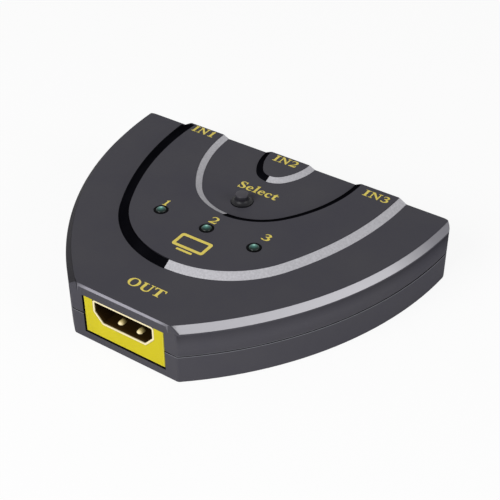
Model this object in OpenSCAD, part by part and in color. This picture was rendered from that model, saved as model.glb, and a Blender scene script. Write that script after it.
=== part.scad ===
// Three-way HDMI switch box: a fan-shaped two-part case with terraced top, trim strips,
// four sockets on one circuit board, a select button over a tactile switch and three lamps.
// Millimetres. Origin on the base, mid width and mid depth. +Z up, +Y towards the input sockets.

/* [Case] */
// Width across the back, where the case is widest
case_w = 80; // [70:1:100]
// Depth from the output face to the input face
case_d = 59; // [56:1:80]
// Width of the output face, measured to its sharp corners
front_w = 25.6; // [24:0.2:32]
// Radius of the upright corners at the output face
front_corner_r = 1; // [1:0.5:4]
// Radius of the upright corners at the input face
back_corner_r = 2.5; // [1:0.5:4]
// Height of the top surface at the rim
rim_h = 13.4; // [13.2:0.1:16]
// Height of the parting line between the two covers
seam_z = 6.7; // [5.8:0.1:7.5]
// Wall thickness of both covers
wall = 1.8; // [1.6:0.1:2.4]
// Floor thickness of the bottom cover
floor_t = 1.8; // [1.4:0.1:2.2]
// Roof thickness of the top cover at the rim
roof_t = 1.5; // [1.4:0.1:1.8]
// Size of the dark groove that marks the parting line
seam_groove = 0.3; // [0.1:0.05:0.5]
// Thickness of the locating lip on the bottom cover
lip_t = 0.8; // [0.5:0.1:1.0]
// Height of the locating lip on the bottom cover
lip_h = 1.2; // [0.6:0.1:1.6]
// Room round the locating lip
lip_gap = 0.1; // [0.05:0.05:0.3]

/* [Terraces] */
// Rise of the arch-shaped terrace above the rim surface
arch_rise = 1.05; // [0.6:0.05:2]
// Rise of the sunken middle field above the rim surface
field_rise = 0.35; // [0:0.05:0.5]
// Depth that the trim strips are let into the top cover
inlay_t = 0.4; // [0.2:0.05:0.6]
// Half width of the outer arch at the back
arch_half_w = 27.1; // [25:0.1:31]
// Length of the outer arch from the back to its nose
arch_reach = 43.9; // [40:0.1:48]
// Nose radius of the outer arch
arch_nose_r = 21.5; // [16:0.5:23]
// Width of the slope round the outer arch
arch_slope_w = 1.8; // [1:0.1:2.5]
// Half width of the middle field at the back
field_half_w = 18; // [17:0.2:20]
// Length of the middle field from the back to its nose
field_reach = 25.6; // [24:0.1:29]
// Nose radius of the middle field
field_nose_r = 14.2; // [11:0.1:15]
// Width of the slope round the middle field
field_slope_w = 1.4; // [1:0.1:2.2]
// Half width of the small island at the back
island_half_w = 4.9; // [4:0.1:6]
// Length of the small island from the back to its nose
island_reach = 8.3; // [7:0.1:10]
// Nose radius of the small island
island_nose_r = 3.2; // [2:0.1:3.6]
// Width of the slope round the small island
island_slope_w = 1.5; // [1:0.1:2]
// Width of the slope along the rim
rim_slope_w = 1.2; // [0.6:0.1:1.5]
// Drop of the slope along the rim
rim_slope_h = 1.3; // [0.6:0.1:1.8]

/* [Sockets] */
// Width of a socket's mouth
socket_w = 14; // [13:0.1:15]
// Height of a socket's mouth
socket_h = 4.55; // [4.2:0.05:4.7]
// Width of a socket's mouth at its narrow side
socket_foot_w = 10.2; // [9:0.1:11]
// Length of the upright side of a socket's mouth
socket_side_h = 2.4; // [1.8:0.1:2.8]
// Wall thickness of a socket's shell
shell_t = 0.4; // [0.3:0.05:0.5]
// Depth of a socket's shell
shell_d = 11.5; // [10.5:0.5:13]
// Distance of the sockets' centre below the rim surface
socket_drop = 5.1; // [4.5:0.1:6]
// Distance between the input sockets
in_pitch = 23; // [21.6:0.2:28]
// Room between a socket's shell and the case or face plate
port_gap = 0.05; // [0.05:0.05:0.3]
// Length of the solid back of a socket's insulator
insulator_d = 2.6; // [2:0.2:4]
// Distance of the tongue's tip behind the mouth
tongue_back = 2.2; // [1.6:0.2:3]
// Width of the tongue
tongue_w = 11; // [10.4:0.1:11.4]
// Thickness of the tongue
tongue_t = 1.3; // [1:0.1:1.5]
// Height of the tongue's middle above the socket's centre
tongue_rise = 0.5; // [0.3:0.05:0.7]
// Contacts on the tongue's upper side
contact_count = 10; // [6:1:10]
// Distance between contacts on one side
contact_pitch = 1; // [0.9:0.05:1.1]
// Width of a contact
contact_w = 0.3; // [0.2:0.05:0.35]
// Thickness of a contact
contact_t = 0.15; // [0.1:0.05:0.2]
// Length of a contact's foot on the board
contact_foot = 0.8; // [0.4:0.1:1.2]
// Radius of the two retention springs in a socket's floor
spring_r = 0.75; // [0.5:0.05:0.9]
// Height of the retention springs above a socket's floor
spring_rise = 0.5; // [0.3:0.05:0.6]
// Length of the retention springs
spring_len = 3.5; // [2.5:0.5:5]
// Distance of the retention springs' round ends behind the mouth
spring_back = 1.4; // [0.8:0.1:1.6]
// Distance between the two retention springs
spring_pitch = 4.6; // [3:0.2:6]
// Length of a shell's soldering tab
tab_l = 1.5; // [1:0.1:2]
// Thickness of a shell's soldering tab
tab_t = 0.4; // [0.3:0.05:0.6]
// Distance of the soldering tabs from the shell's two ends
tab_inset = 2.6; // [2.4:0.2:3.6]
// Height of a soldering tab on the shell's upright side
tab_grip = 1; // [0.6:0.1:1.6]

/* [Face plate] */
// Width of the plate round the output socket
plate_w = 19.6; // [17:0.2:21]
// Height of the plate's lower edge above the base
plate_low = 2; // [1.9:0.1:3]
// Height of the plate's upper edge above the socket's shell; below port_gap the plate is open at the top
plate_brow = 0.03; // [0.01:0.01:0.5]
// Thickness of the plate
plate_t = 1.4; // [1:0.1:1.5]
// Depth of the plate's face behind the output face
plate_recess = 0.15; // [0:0.05:0.4]
// Room round the plate
plate_gap = 0.12; // [0.02:0.01:0.15]

/* [Circuit board] */
// Thickness of the circuit board
board_t = 1.6; // [1:0.1:1.6]
// Room between the board and the covers' walls
board_gap = 0.4; // [0.2:0.1:0.8]
// Room between the sockets' shells and the board
board_drop = 0.1; // [0:0.05:0.2]
// Width and depth of the switching chip
chip_w = 9; // [6:0.5:10]
// Thickness of the switching chip
chip_t = 1; // [0.7:0.1:1.4]
// Distance of the chip's middle behind the output face
chip_setback = 20; // [17.5:0.5:22]

/* [Select button] */
// Diameter of the button
button_d = 4.6; // [4:0.1:5.5]
// Diameter of the button's flat top
button_top_d = 2.8; // [2:0.1:3.6]
// Height that the button stands above the middle field
button_rise = 2; // [1.4:0.1:2.6]
// Height of the button's straight side above the middle field
button_skirt = 0.2; // [0.1:0.05:0.5]
// Height above the middle field at which the button's flare ends in its straight neck
button_neck = 1.1; // [0.6:0.1:1.3]
// Distance of the button's axis from the input face
button_setback = 18.9; // [16.5:0.1:21.5]
// Running room between the button and its bore, on the radius
button_gap = 0.05; // [0.03:0.01:0.1]
// Diameter of the button's flange
flange_d = 6.4; // [6:0.1:7.5]
// Thickness of the button's flange
flange_t = 1.4; // [1:0.1:1.6]
// Room between the flange and the roof
flange_gap = 0.05; // [0.03:0.01:0.1]

/* [Tactile switch] */
// Width and depth of the tactile switch
switch_w = 6; // [5.6:0.1:6.5]
// Height of the tactile switch's housing
switch_h = 3; // [2.8:0.1:3.1]
// Thickness of the housing's floor
switch_floor = 0.7; // [0.5:0.1:0.9]
// Thickness of the metal cover
switch_cover_t = 0.3; // [0.2:0.05:0.4]
// Diameter of the well in the housing
switch_well_d = 4.8; // [4.6:0.1:5]
// Diameter of the plunger's stem
plunger_d = 3.4; // [3:0.1:3.5]
// Diameter of the plunger's collar
collar_d = 4.3; // [4.1:0.1:4.4]
// Thickness of the plunger's collar
collar_t = 1.2; // [1:0.1:1.3]
// Running room round the plunger, on the radius, and above its collar
plunger_gap = 0.05; // [0.03:0.01:0.1]
// Rim radius of the snap dome
dome_r = 2.1; // [1.8:0.1:2.2]
// Sheet thickness of the snap dome
dome_t = 0.1; // [0.06:0.02:0.14]
// Width of a switch terminal
terminal_w = 0.7; // [0.5:0.1:1]
// Sheet thickness of a switch terminal
terminal_t = 0.25; // [0.15:0.05:0.35]
// Length of a switch terminal's foot
terminal_l = 1; // [0.6:0.1:1.4]
// Height of a switch terminal on the housing
terminal_h = 1.2; // [0.8:0.1:1.6]
// Distance between the two terminals of one side
terminal_pitch = 4.5; // [4:0.1:4.6]

/* [Lamps] */
// Distance between the lamps
lamp_pitch = 11.6; // [10:0.1:13]
// Distance of the row of lamps from the input face
lamp_setback = 31.6; // [28:0.1:33.5]
// Diameter of a lamp
lamp_d = 2.2; // [1.8:0.1:2.4]
// Height of a lamp's dome
lamp_dome_h = 0.45; // [0.2:0.05:0.8]
// Diameter of a lamp's foot
lamp_foot_d = 3; // [2.8:0.1:3.4]
// Thickness of a lamp's foot
lamp_foot_t = 0.8; // [0.5:0.1:1.2]
// Outer diameter of the ring round a lamp
bezel_d = 3.1; // [2.9:0.1:3.8]
// Height that the ring stands above the terrace
bezel_rise = 0.1; // [0.05:0.05:0.3]
// Length of the ring
bezel_l = 1.4; // [1:0.1:1.8]
// Room round a lamp and its ring, on the radius
lamp_gap = 0.03; // [0.02:0.01:0.06]
// Diameter of a lamp's leg
leg_d = 0.5; // [0.4:0.05:0.6]
// Distance between a lamp's two legs
leg_pitch = 1.6; // [1.4:0.1:2]
// Length of a leg below the board
leg_tail = 0.8; // [0.4:0.1:1.2]
// Room round a leg in the board, on the radius
leg_gap = 0.1; // [0.05:0.05:0.2]

/* [Fastening] */
// Diameter of a case screw's thread
screw_d = 2; // [1.8:0.1:2.2]
// Diameter of a case screw's head
screw_head_d = 3.8; // [3.4:0.1:4]
// Thickness of a case screw's head
screw_head_t = 1.3; // [1:0.1:1.4]
// Depth of a case screw's head above the base
screw_sink = 0.3; // [0.2:0.1:0.5]
// Width of the cross slot in a screw's head
screw_slot_w = 0.6; // [0.4:0.1:0.8]
// Length of the cross slot in a screw's head
screw_slot_l = 2.6; // [2:0.1:3]
// Depth of the cross slot in a screw's head
screw_slot_t = 0.7; // [0.4:0.1:0.8]
// Length of thread in the top cover's boss
screw_grip = 4.5; // [3.5:0.5:5]
// Room round a screw in its pilot hole, on the radius
pilot_gap = 0.02; // [0.01:0.01:0.05]
// Room round a screw in a clearance hole, on the radius
screw_gap = 0.2; // [0.1:0.05:0.3]
// Diameter of the screw bosses
boss_d = 5.4; // [5.2:0.1:6]
// Distance of the rear bosses from the input face
rear_boss_setback = 9; // [5:0.5:16]
// Distance of a front boss from the middle plane
front_boss_x = 14.5; // [9:0.5:18]
// Distance of the front bosses behind the output face
front_boss_setback = 18.5; // [15:0.5:22]

/* [Hidden] */
$fn = 96;
eps = 0.01;
// Length by which a cutting tool runs past what it cuts
overrun = 1;
// Height by which a corner's round stands out, so that it crosses the case side cleanly
corner_over = 0.002;

back_y = case_d / 2;
front_y = -case_d / 2;
side_step = (case_w - front_w) / 2;
side_r = (case_d * case_d + side_step * side_step) / (2 * side_step);
side_centre = side_r - case_w / 2;

// Each upright corner: radius, direction of its end face along Y, centre of its round
corners = [
  [front_corner_r, -1, corner_centre(front_corner_r, front_y + front_corner_r)],
  [back_corner_r, 1, corner_centre(back_corner_r, back_y - back_corner_r)],
];

roof_z = rim_h - roof_t;
arch_z = rim_h + arch_rise;
field_z = rim_h + field_rise;
inlay_z = rim_h - inlay_t;
rim_low_z = rim_h - rim_slope_h;
rebate_z = rim_low_z - inlay_t;

// Each terrace: half width at the back, length, nose radius
arch = [arch_half_w, arch_reach, arch_nose_r];
field = [field_half_w, field_reach, field_nose_r];
island = [island_half_w, island_reach, island_nose_r];

shell_w = socket_w + 2 * shell_t;
shell_h = socket_h + 2 * shell_t;
socket_z = rim_h - socket_drop;
socket_floor = -socket_h / 2;
shoulder_z = socket_h / 2 - socket_side_h;
socket_lean = atan2((socket_w - socket_foot_w) / 2, shoulder_z - socket_floor);
out_y = front_y + plate_recess;
in_x = [-in_pitch, 0, in_pitch];

board_top = socket_z - shell_h / 2 - board_drop;
board_low = board_top - board_t;
board_rel = board_top - socket_z;
plate_top = socket_z + shell_h / 2 + plate_brow;

button_y = back_y - button_setback;
button_top = field_z + button_rise;
flange_top = roof_z - flange_gap;
flange_low = flange_top - flange_t;

switch_top = board_top + switch_h;
collar_top = switch_top - plunger_gap;
collar_low = collar_top - collar_t;
well_z = board_top + switch_floor;
dome_rise = collar_low - plunger_gap - well_z;
dome_ball_r = (dome_r * dome_r + dome_rise * dome_rise) / (2 * dome_rise);

lamp_y = back_y - lamp_setback;
lamp_x = [-lamp_pitch, 0, lamp_pitch];
bezel_top = arch_z + bezel_rise;
lamp_r = lamp_d / 2;
lamp_ball_r = (lamp_r * lamp_r + lamp_dome_h * lamp_dome_h) / (2 * lamp_dome_h);
lamp_foot_top = bezel_top - bezel_l;
lamp_foot_low = lamp_foot_top - lamp_foot_t;

boss_xy = [
  [-in_pitch / 2, back_y - rear_boss_setback],
  [in_pitch / 2, back_y - rear_boss_setback],
  [-front_boss_x, front_y + front_boss_setback],
  [front_boss_x, front_y + front_boss_setback],
];
screw_head_top = screw_sink + screw_head_t;
screw_tip = board_top + screw_grip;

// Centre of a corner's round on the right, which runs into the side arc
function corner_centre(r, y) = [sqrt(pow(side_r - r, 2) - pow(back_y - y, 2)) - side_centre, y];

// Distance of a terrace's side arc centre beyond the middle plane
function side_shift(t) = (pow(t[1] - t[2], 2) - pow(t[0] - t[2], 2)) / (2 * (t[0] - t[2]));
// Angle of the ray on which a terrace's side arc runs into its nose
function side_turn(t) = atan2(t[1] - t[2], side_shift(t));

// Half outline of a socket's mouth, grown evenly by a wall
function mouth_half(grow) = [
  [socket_w / 2 + grow, socket_h / 2 + grow],
  [socket_w / 2 + grow, shoulder_z - grow * tan(socket_lean / 2)],
  [socket_foot_w / 2 + grow * tan(45 - socket_lean / 2), socket_floor - grow],
];

// Case outline, drawn in from the curved sides and from the two flat ends
module outline(side_in = 0, end_in = 0) {
  difference() {
    intersection() {
      translate([-side_centre, back_y])
        circle(side_r - side_in);
      translate([side_centre, back_y])
        circle(side_r - side_in);
      translate([-case_w / 2, front_y + end_in])
        square([case_w, case_d - 2 * end_in]);
    }
    corner_trims(end_in);
  }
}

// What a round takes off each upright corner, drawn in with the outline
module corner_trims(end_in = 0) {
  for (side = [0, 1], c = corners) {
    middle = c[2];
    reach = 2 * c[0];
    outward = reach * (middle - [-side_centre, back_y]) / (side_r - c[0]);
    along = reach * [0, c[1]];
    mirror([side, 0])
      difference() {
        polygon([middle, middle + outward, middle + outward + along, middle + along]);
        translate(middle)
          circle(max(c[0] - end_in, 0) + corner_over);
      }
  }
}

// Plan of a terrace, from its nose to the back of the case
module terrace(t, grow = 0) {
  shift = side_shift(t);
  side = shift + t[0] + grow;
  meet_y = back_y - side * sin(side_turn(t));
  intersection() {
    translate([-shift, back_y])
      circle(side);
    translate([shift, back_y])
      circle(side);
    translate([-case_w / 2, back_y])
      mirror([0, 1])
        square([case_w, back_y - meet_y]);
  }
  intersection() {
    translate([0, back_y - t[1] + t[2]])
      circle(t[2] + grow);
    translate([-case_w / 2, front_y])
      square([case_w, case_d]);
  }
}

// Right half of a trim strip that follows a terrace; section points are [outward, up]
module terrace_strip(t, section) {
  shift = side_shift(t);
  turn = side_turn(t);
  translate([-shift, back_y, 0])
    rotate_extrude(angle = turn, start = -turn)
      polygon([for (p = section) [shift + t[0] + p[0], p[1]]]);
  translate([0, back_y - t[1] + t[2], 0])
    rotate_extrude(angle = 90 - turn, start = -90)
      polygon([for (p = section) [t[2] + p[0], p[1]]]);
}

// Trim strip section between two offsets from a terrace's edge, each with its own height
function slope_section(inner, inner_z, outer, outer_z) =
  [[inner, inlay_z], [outer, inlay_z], [outer, outer_z], [inner, inner_z]];

module slab(low, high) {
  translate([0, 0, low])
    linear_extrude(high - low)
      children();
}

module mouth(grow, depth) {
  half = mouth_half(grow);
  left = [for (i = [len(half) - 1 : -1 : 0]) [-half[i][0], half[i][1]]];
  rotate([90, 0, 0])
    translate([0, 0, -depth])
      linear_extrude(depth)
        polygon(concat(half, left));
}

// Puts a socket piece, drawn with its mouth at the origin facing -Y, where a socket is
module at_out() {
  translate([0, out_y, socket_z])
    children();
}

module at_in(i) {
  translate([in_x[i], back_y, socket_z])
    rotate([0, 0, 180])
      children();
}

// Cuts that both covers share: the plate's window and the input sockets' ports
module case_cuts() {
  window_w = plate_w + 2 * plate_gap;
  translate([-window_w / 2, front_y - eps, plate_low - plate_gap])
    cube([window_w, wall + 2 * eps, plate_top - plate_low + 2 * plate_gap]);
  for (i = [0 : 2])
    at_in(i)
      translate([0, -eps, 0])
        mouth(shell_t + port_gap, wall + lip_gap + 2 * eps);
}

module top_cover() {
  color([0.27, 0.27, 0.3])
    difference() {
      union() {
        difference() {
          top_cover_shell();
          slab(seam_z - eps, roof_z)
            outline(wall, wall);
          slab(seam_z - eps, seam_z + lip_h + lip_gap)
            outline(wall - lip_t - lip_gap, wall - lip_t - lip_gap);
        }
        for (p = boss_xy)
          translate([p[0], p[1], board_top])
            cylinder(d = boss_d, h = roof_z - board_top + eps);
      }
      case_cuts();
      for (p = boss_xy)
        translate([p[0], p[1], board_top - eps])
          cylinder(r = screw_d / 2 + pilot_gap, h = screw_grip + 2 * eps);
      translate([0, button_y, roof_z - eps])
        cylinder(r = button_d / 2 + button_gap, h = arch_z - roof_z);
      for (x = lamp_x)
        translate([x, lamp_y, roof_z - eps])
          cylinder(r = bezel_d / 2 + lamp_gap, h = arch_z - roof_z + 2 * eps);
    }
}

// Outside of the top cover, layer by layer, with seats for the trim strips
module top_cover_shell() {
  slab(seam_z, rebate_z)
    outline();
  slab(rebate_z, inlay_z)
    outline(rim_slope_w);
  slab(inlay_z, rim_h)
    difference() {
      outline(rim_slope_w);
      terrace(arch, arch_slope_w);
    }
  slab(inlay_z, arch_z)
    difference() {
      terrace(arch);
      terrace(field);
    }
  slab(inlay_z, field_z)
    difference() {
      terrace(field, -field_slope_w);
      terrace(island, island_slope_w);
    }
  slab(inlay_z, arch_z)
    terrace(island);
}

module bottom_cover() {
  color([0.29, 0.3, 0.32])
    difference() {
      union() {
        difference() {
          slab(0, seam_z)
            outline();
          slab(floor_t, seam_z + eps)
            outline(wall, wall);
          slab(seam_z - seam_groove, seam_z + eps)
            difference() {
              outline(-overrun, -overrun);
              outline(seam_groove, seam_groove);
            }
        }
        slab(seam_z - eps, seam_z + lip_h)
          difference() {
            outline(wall - lip_t, wall - lip_t);
            outline(wall, wall);
          }
        for (p = boss_xy)
          translate([p[0], p[1], floor_t - eps])
            cylinder(d = boss_d, h = board_low - floor_t + eps);
      }
      case_cuts();
      for (p = boss_xy)
        translate([p[0], p[1], 0]) {
          translate([0, 0, -eps])
            cylinder(r = screw_head_d / 2 + screw_gap, h = screw_head_top + eps);
          cylinder(r = screw_d / 2 + screw_gap, h = board_low + eps);
        }
    }
}

// Right rim strip, along the curved side from the output face to the input face
module rim_strip() {
  section = [
    [side_r - rim_slope_w, rebate_z],
    [side_r, rebate_z],
    [side_r, rim_low_z],
    [side_r - rim_slope_w, rim_h],
  ];
  difference() {
    intersection() {
      translate([-side_centre, back_y, 0])
        rotate_extrude(angle = 90, start = -90)
          polygon(section);
      translate([0, front_y, 0])
        cube([case_w, case_d, rim_h + overrun]);
    }
    slab(0, rim_h + overrun)
      corner_trims();
  }
}

module rim_strip_silver() {
  color([0.72, 0.72, 0.74])
    rim_strip();
}

module rim_strip_dark() {
  color([0.2, 0.2, 0.21])
    mirror([1, 0, 0])
      rim_strip();
}

module outer_arch_strip_silver() {
  color([0.72, 0.72, 0.74])
    terrace_strip(arch, slope_section(0, arch_z, arch_slope_w, rim_h));
}

module outer_arch_strip_black() {
  color([0.06, 0.06, 0.07])
    mirror([1, 0, 0])
      terrace_strip(arch, slope_section(0, arch_z, arch_slope_w, rim_h));
}

module field_strip_black() {
  color([0.06, 0.06, 0.07])
    terrace_strip(field, slope_section(-field_slope_w, field_z, 0, arch_z));
}

module field_strip_silver() {
  color([0.72, 0.72, 0.74])
    mirror([1, 0, 0])
      terrace_strip(field, slope_section(-field_slope_w, field_z, 0, arch_z));
}

module island_strip_silver() {
  color([0.72, 0.72, 0.74])
    terrace_strip(island, slope_section(0, arch_z, island_slope_w, field_z));
}

module island_strip_black() {
  color([0.06, 0.06, 0.07])
    mirror([1, 0, 0])
      terrace_strip(island, slope_section(0, arch_z, island_slope_w, field_z));
}

module out_face_plate() {
  color([0.85, 0.81, 0.21])
    difference() {
      translate([-plate_w / 2, out_y, plate_low])
        cube([plate_w, plate_t, plate_top - plate_low]);
      at_out()
        translate([0, -eps, 0])
          mouth(shell_t + port_gap, plate_t + 2 * eps);
    }
}

// Metal shell with two retention springs in its floor and soldering tabs down to the board
module socket_shell() {
  color([0.83, 0.68, 0.3]) {
    difference() {
      mouth(shell_t, shell_d);
      translate([0, -eps, 0])
        mouth(0, shell_d + 2 * eps);
    }
    intersection() {
      for (side = [-1, 1])
        translate([side * spring_pitch / 2, spring_back + spring_r, socket_floor + spring_rise - spring_r]) {
          sphere(spring_r);
          rotate([-90, 0, 0])
            cylinder(r = spring_r, h = spring_len - spring_r);
        }
      translate([-socket_w / 2, 0, socket_floor - shell_t / 2])
        cube([socket_w, shell_d, socket_h]);
    }
    for (side = [-1, 1], y = [tab_inset, shell_d - tab_inset])
      translate([side * (shell_w + tab_t) / 2 - tab_t / 2 - eps, y - tab_l / 2, board_rel])
        cube([tab_t + 2 * eps, tab_l, shoulder_z + tab_grip - board_rel]);
  }
}

// Insulator that closes the shell's back and carries the tongue, with a slot for each contact
module socket_insulator() {
  color([0.1, 0.07, 0.03])
    difference() {
      union() {
        translate([0, shell_d - insulator_d, 0])
          mouth(0, insulator_d);
        translate([-tongue_w / 2, tongue_back, tongue_rise - tongue_t / 2])
          cube([tongue_w, shell_d - insulator_d - tongue_back + eps, tongue_t]);
      }
      for (c = contact_rows())
        translate([c[0] - contact_w / 2, tongue_back - eps, c[1]])
          cube([contact_w, shell_d, contact_t]);
    }
}

// Place across and lower face of each contact: the upper row, then the staggered lower row
function contact_rows() = concat(
  [for (i = [0 : contact_count - 1])
    [(i - (contact_count - 1) / 2) * contact_pitch, tongue_rise + tongue_t / 2 - contact_t]],
  [for (i = [0 : contact_count - 2])
    [(i - (contact_count - 2) / 2) * contact_pitch, tongue_rise - tongue_t / 2]]
);

module socket_contacts() {
  tail_y = shell_d + contact_t;
  foot_y = tail_y + contact_foot;
  color([0.86, 0.72, 0.35])
    for (c = contact_rows())
      translate([c[0] + contact_w / 2, 0, 0])
        rotate([90, 0, -90])
          linear_extrude(contact_w)
            polygon([
              [-tongue_back, c[1]],
              [-tongue_back, c[1] + contact_t],
              [-tail_y, c[1] + contact_t],
              [-tail_y, board_rel + contact_t],
              [-foot_y, board_rel + contact_t],
              [-foot_y, board_rel],
              [-shell_d, board_rel],
              [-shell_d, c[1]],
            ]);
}

module circuit_board() {
  color([0.1, 0.32, 0.18])
    difference() {
      slab(board_low, board_top)
        outline(wall + board_gap, wall + board_gap);
      for (p = boss_xy)
        translate([p[0], p[1], board_low - eps])
          cylinder(r = screw_d / 2 + screw_gap, h = board_t + 2 * eps);
      for (x = lamp_x, side = [-1, 1])
        translate([x + side * leg_pitch / 2, lamp_y, board_low - eps])
          cylinder(r = leg_d / 2 + leg_gap, h = board_t + 2 * eps);
    }
}

// Switching chip, midway between two lamps, so that it stands clear of their legs
module switch_chip() {
  color([0.08, 0.08, 0.09])
    translate([lamp_pitch / 2 - chip_w / 2, front_y + chip_setback - chip_w / 2, board_top])
      cube([chip_w, chip_w, chip_t]);
}

module select_button() {
  color([0.16, 0.16, 0.18])
    translate([0, button_y, 0])
      rotate_extrude()
        polygon([
          [0, flange_low],
          [flange_d / 2, flange_low],
          [flange_d / 2, flange_top],
          [button_d / 2, flange_top],
          [button_d / 2, field_z + button_skirt],
          [button_top_d / 2, field_z + button_neck],
          [button_top_d / 2, button_top],
          [0, button_top],
        ]);
}

module switch_plunger() {
  color([0.12, 0.12, 0.13])
    translate([0, button_y, 0])
      rotate_extrude()
        polygon([
          [0, collar_low],
          [collar_d / 2, collar_low],
          [collar_d / 2, collar_top],
          [plunger_d / 2, collar_top],
          [plunger_d / 2, flange_low],
          [0, flange_low],
        ]);
}

module switch_body() {
  color([0.1, 0.1, 0.11])
    translate([0, button_y, 0])
      difference() {
        translate([-switch_w / 2, -switch_w / 2, board_top])
          cube([switch_w, switch_w, switch_h]);
        translate([0, 0, well_z])
          cylinder(d = switch_well_d, h = switch_h);
      }
}

module switch_cover() {
  color([0.75, 0.75, 0.77])
    translate([0, button_y, 0])
      difference() {
        translate([-switch_w / 2, -switch_w / 2, switch_top])
          cube([switch_w, switch_w, switch_cover_t]);
        translate([0, 0, switch_top - eps])
          cylinder(r = plunger_d / 2 + plunger_gap, h = switch_cover_t + 2 * eps);
      }
}

// Snap dome that sits in the well and pushes the plunger back up
module switch_dome() {
  color([0.8, 0.8, 0.82])
    translate([0, button_y, well_z])
      intersection() {
        translate([0, 0, dome_rise - dome_ball_r])
          difference() {
            sphere(dome_ball_r);
            sphere(dome_ball_r - dome_t);
          }
        cylinder(r = switch_well_d / 2, h = dome_rise + overrun);
      }
}

module switch_terminals() {
  color([0.8, 0.78, 0.72])
    for (side = [-1, 1], row = [-1, 1])
      translate([0, button_y + row * terminal_pitch / 2, board_top])
        mirror([side < 0 ? 1 : 0, 0, 0])
          translate([switch_w / 2, terminal_w / 2, 0])
            rotate([90, 0, 0])
              linear_extrude(terminal_w)
                polygon([
                  [0, 0],
                  [terminal_l, 0],
                  [terminal_l, terminal_t],
                  [terminal_t, terminal_t],
                  [terminal_t, terminal_h],
                  [0, terminal_h],
                ]);
}

module lamp(i) {
  color([0.15, 0.5, 0.3])
    translate([lamp_x[i], lamp_y, 0]) {
      translate([0, 0, lamp_foot_low])
        cylinder(d = lamp_foot_d, h = lamp_foot_t);
      translate([0, 0, lamp_foot_low])
        cylinder(d = lamp_d, h = bezel_top - lamp_foot_low);
      intersection() {
        translate([0, 0, bezel_top + lamp_dome_h - lamp_ball_r])
          sphere(lamp_ball_r);
        translate([0, 0, bezel_top])
          cylinder(r = lamp_ball_r, h = lamp_ball_r);
      }
    }
}

module lamp_bezel(i) {
  color([0.05, 0.05, 0.06])
    translate([lamp_x[i], lamp_y, bezel_top - bezel_l])
      difference() {
        cylinder(d = bezel_d, h = bezel_l);
        translate([0, 0, -eps])
          cylinder(r = lamp_r + lamp_gap, h = bezel_l + 2 * eps);
      }
}

module lamp_legs() {
  color([0.75, 0.75, 0.77])
    for (x = lamp_x, side = [-1, 1])
      translate([x + side * leg_pitch / 2, lamp_y, board_low - leg_tail])
        cylinder(d = leg_d, h = lamp_foot_low - board_low + leg_tail);
}

module case_screws() {
  color([0.6, 0.6, 0.62])
    for (p = boss_xy)
      translate([p[0], p[1], screw_sink])
        difference() {
          union() {
            cylinder(d = screw_head_d, h = screw_head_t);
            cylinder(d = screw_d, h = screw_tip - screw_sink);
          }
          for (turn = [0, 90])
            rotate([0, 0, turn])
              translate([-screw_slot_l / 2, -screw_slot_w / 2, -eps])
                cube([screw_slot_l, screw_slot_w, screw_slot_t + eps]);
        }
}

top_cover();
bottom_cover();
rim_strip_silver();
rim_strip_dark();
outer_arch_strip_silver();
outer_arch_strip_black();
field_strip_silver();
field_strip_black();
island_strip_silver();
island_strip_black();
out_face_plate();
at_out() socket_shell();  // out_socket_shell
at_out() socket_insulator();  // out_socket_insulator
at_out() socket_contacts();  // out_socket_contacts
at_in(0) socket_shell();  // in_1_socket_shell
at_in(0) socket_insulator();  // in_1_socket_insulator
at_in(0) socket_contacts();  // in_1_socket_contacts
at_in(1) socket_shell();  // in_2_socket_shell
at_in(1) socket_insulator();  // in_2_socket_insulator
at_in(1) socket_contacts();  // in_2_socket_contacts
at_in(2) socket_shell();  // in_3_socket_shell
at_in(2) socket_insulator();  // in_3_socket_insulator
at_in(2) socket_contacts();  // in_3_socket_contacts
circuit_board();
switch_chip();
select_button();
switch_plunger();
switch_body();
switch_cover();
switch_dome();
switch_terminals();
lamp(0);  // lamp_1
lamp(1);  // lamp_2
lamp(2);  // lamp_3
lamp_bezel(0);  // lamp_bezel_1
lamp_bezel(1);  // lamp_bezel_2
lamp_bezel(2);  // lamp_bezel_3
lamp_legs();
case_screws();
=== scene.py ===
import math
import bmesh
import bpy
from mathutils import Matrix, Vector


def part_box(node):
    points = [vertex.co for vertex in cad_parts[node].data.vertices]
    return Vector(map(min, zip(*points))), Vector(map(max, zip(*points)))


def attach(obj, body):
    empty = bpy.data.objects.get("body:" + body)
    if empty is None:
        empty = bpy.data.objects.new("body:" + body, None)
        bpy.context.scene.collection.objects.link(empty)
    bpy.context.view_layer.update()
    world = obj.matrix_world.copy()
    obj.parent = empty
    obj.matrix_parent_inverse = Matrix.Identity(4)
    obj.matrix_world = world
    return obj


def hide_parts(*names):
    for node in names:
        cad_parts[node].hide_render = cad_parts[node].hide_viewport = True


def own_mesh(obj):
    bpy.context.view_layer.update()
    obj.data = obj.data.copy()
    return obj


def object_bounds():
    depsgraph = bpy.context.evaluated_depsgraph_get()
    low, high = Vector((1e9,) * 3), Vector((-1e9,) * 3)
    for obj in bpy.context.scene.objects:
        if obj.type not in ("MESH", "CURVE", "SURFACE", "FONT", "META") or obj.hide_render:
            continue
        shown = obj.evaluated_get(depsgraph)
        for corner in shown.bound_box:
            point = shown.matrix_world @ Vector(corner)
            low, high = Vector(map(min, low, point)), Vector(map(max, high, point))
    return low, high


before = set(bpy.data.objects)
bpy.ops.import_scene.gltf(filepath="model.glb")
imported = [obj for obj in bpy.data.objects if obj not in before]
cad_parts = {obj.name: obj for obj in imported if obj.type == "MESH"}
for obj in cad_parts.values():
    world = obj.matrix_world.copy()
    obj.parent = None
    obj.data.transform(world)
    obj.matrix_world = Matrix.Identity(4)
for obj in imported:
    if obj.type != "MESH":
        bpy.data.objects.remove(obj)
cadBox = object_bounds()  # the CAD model's box, before anything is dressed
scene = bpy.context.scene
mm = 0.001
print("frame loaded:", len(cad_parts), "nodes")

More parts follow.
